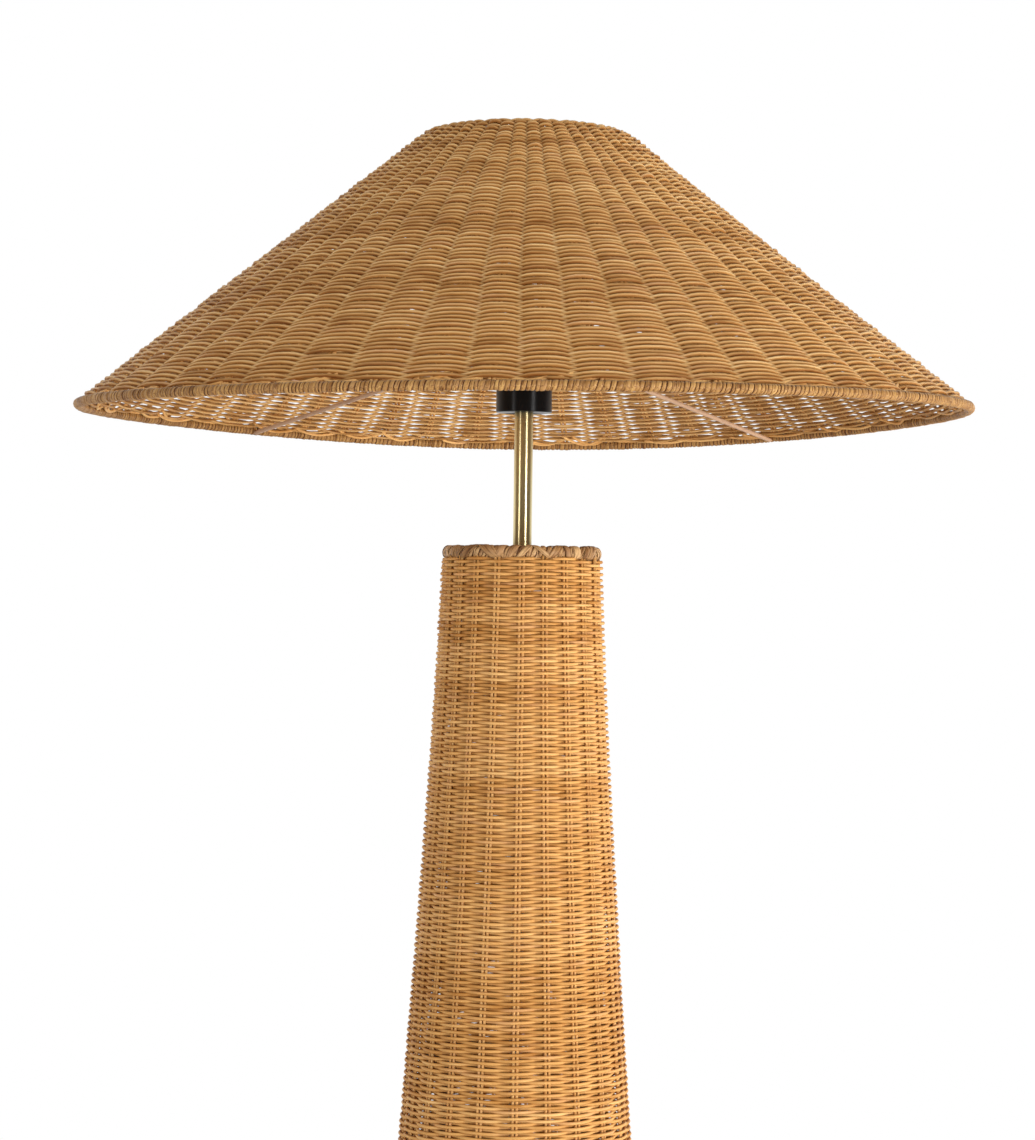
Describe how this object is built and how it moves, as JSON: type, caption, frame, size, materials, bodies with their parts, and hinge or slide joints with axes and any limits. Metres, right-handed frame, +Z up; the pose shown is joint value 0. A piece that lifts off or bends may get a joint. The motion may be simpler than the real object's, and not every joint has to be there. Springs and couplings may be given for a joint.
{
  "type": "floor lamp",
  "caption": "Floor lamp with a wide shallow cone shade of woven rattan on a tall flared woven column, joined by a slim brass stem.",
  "frame": {"origin": "middle of the base, on the floor", "axes": "+Z up along the lamp's axis; the pictured side faces -Y and the cable outlet +Y"},
  "size_m": [0.6878, 0.6878, 1.4993],
  "materials": {
    "rattan": "semi-matt natural cane",
    "pale_rattan": "semi-matt peeled cane",
    "disc_wood": "satin lacquer",
    "felt": "matt",
    "dark_steel": "satin",
    "zinc_steel": "zinc plated",
    "tan_wire": "satin",
    "satin_brass": "satin",
    "black_plastic": "satin",
    "opal_glass": "opal"
  },
  "bodies": {
    "stand": {"felt_pad": "felt", "ballast_plate": "dark_steel", "centre_pipe": "zinc_steel", "frame_foot_ring": "dark_steel", "frame_lower_ring": "dark_steel", "frame_upper_ring": "dark_steel", "frame_top_ring": "dark_steel", "frame_rod_1": "dark_steel", "frame_rod_2": "dark_steel", "frame_rod_3": "dark_steel", "frame_rod_4": "dark_steel", "column_weave": "rattan", "column_foot_border": "rattan", "column_top_border": "rattan", "column_disc": "disc_wood", "cable_outlet": "black_plastic", "base_washer": "zinc_steel", "base_nut": "zinc_steel", "disc_washer": "zinc_steel", "disc_nut": "zinc_steel", "stem_washer": "satin_brass", "stem_tube": "satin_brass", "cup_nut": "zinc_steel", "lampholder_cup": "black_plastic", "lampholder_body": "black_plastic", "screw_shell": "zinc_steel", "centre_contact": "satin_brass"},
    "shade": {"shade_hub_ring": "tan_wire", "shade_strut_1": "tan_wire", "shade_strut_2": "tan_wire", "shade_strut_3": "tan_wire", "shade_strut_4": "tan_wire", "shade_rim_ring": "tan_wire", "shade_rim_binding": "pale_rattan", "shade_weave": "rattan", "shade_top_ring": "tan_wire", "shade_top_border": "pale_rattan"},
    "ring_nut": {"shade_ring_nut": "black_plastic"},
    "bulb": {"bulb_cap": "zinc_steel", "bulb_glass": "opal_glass"}
  },
  "joints": [
    {"name": "shade_turn", "type": "hinge", "parent": "stand", "child": "shade", "pos_m": [0, 0, 1.3343], "axis": [0, 0, 1], "continuous": true},
    {"name": "ring_nut_unscrew", "type": "hinge", "parent": "stand", "child": "ring_nut", "pos_m": [0, 0, 1.3403], "axis": [0, 0, 1], "range_deg": [0, 1260]},
    {"name": "bulb_unscrew", "type": "hinge", "parent": "stand", "child": "bulb", "pos_m": [0, 0, 1.3453], "axis": [0, 0, 1], "range_deg": [0, 1440]}
  ]
}
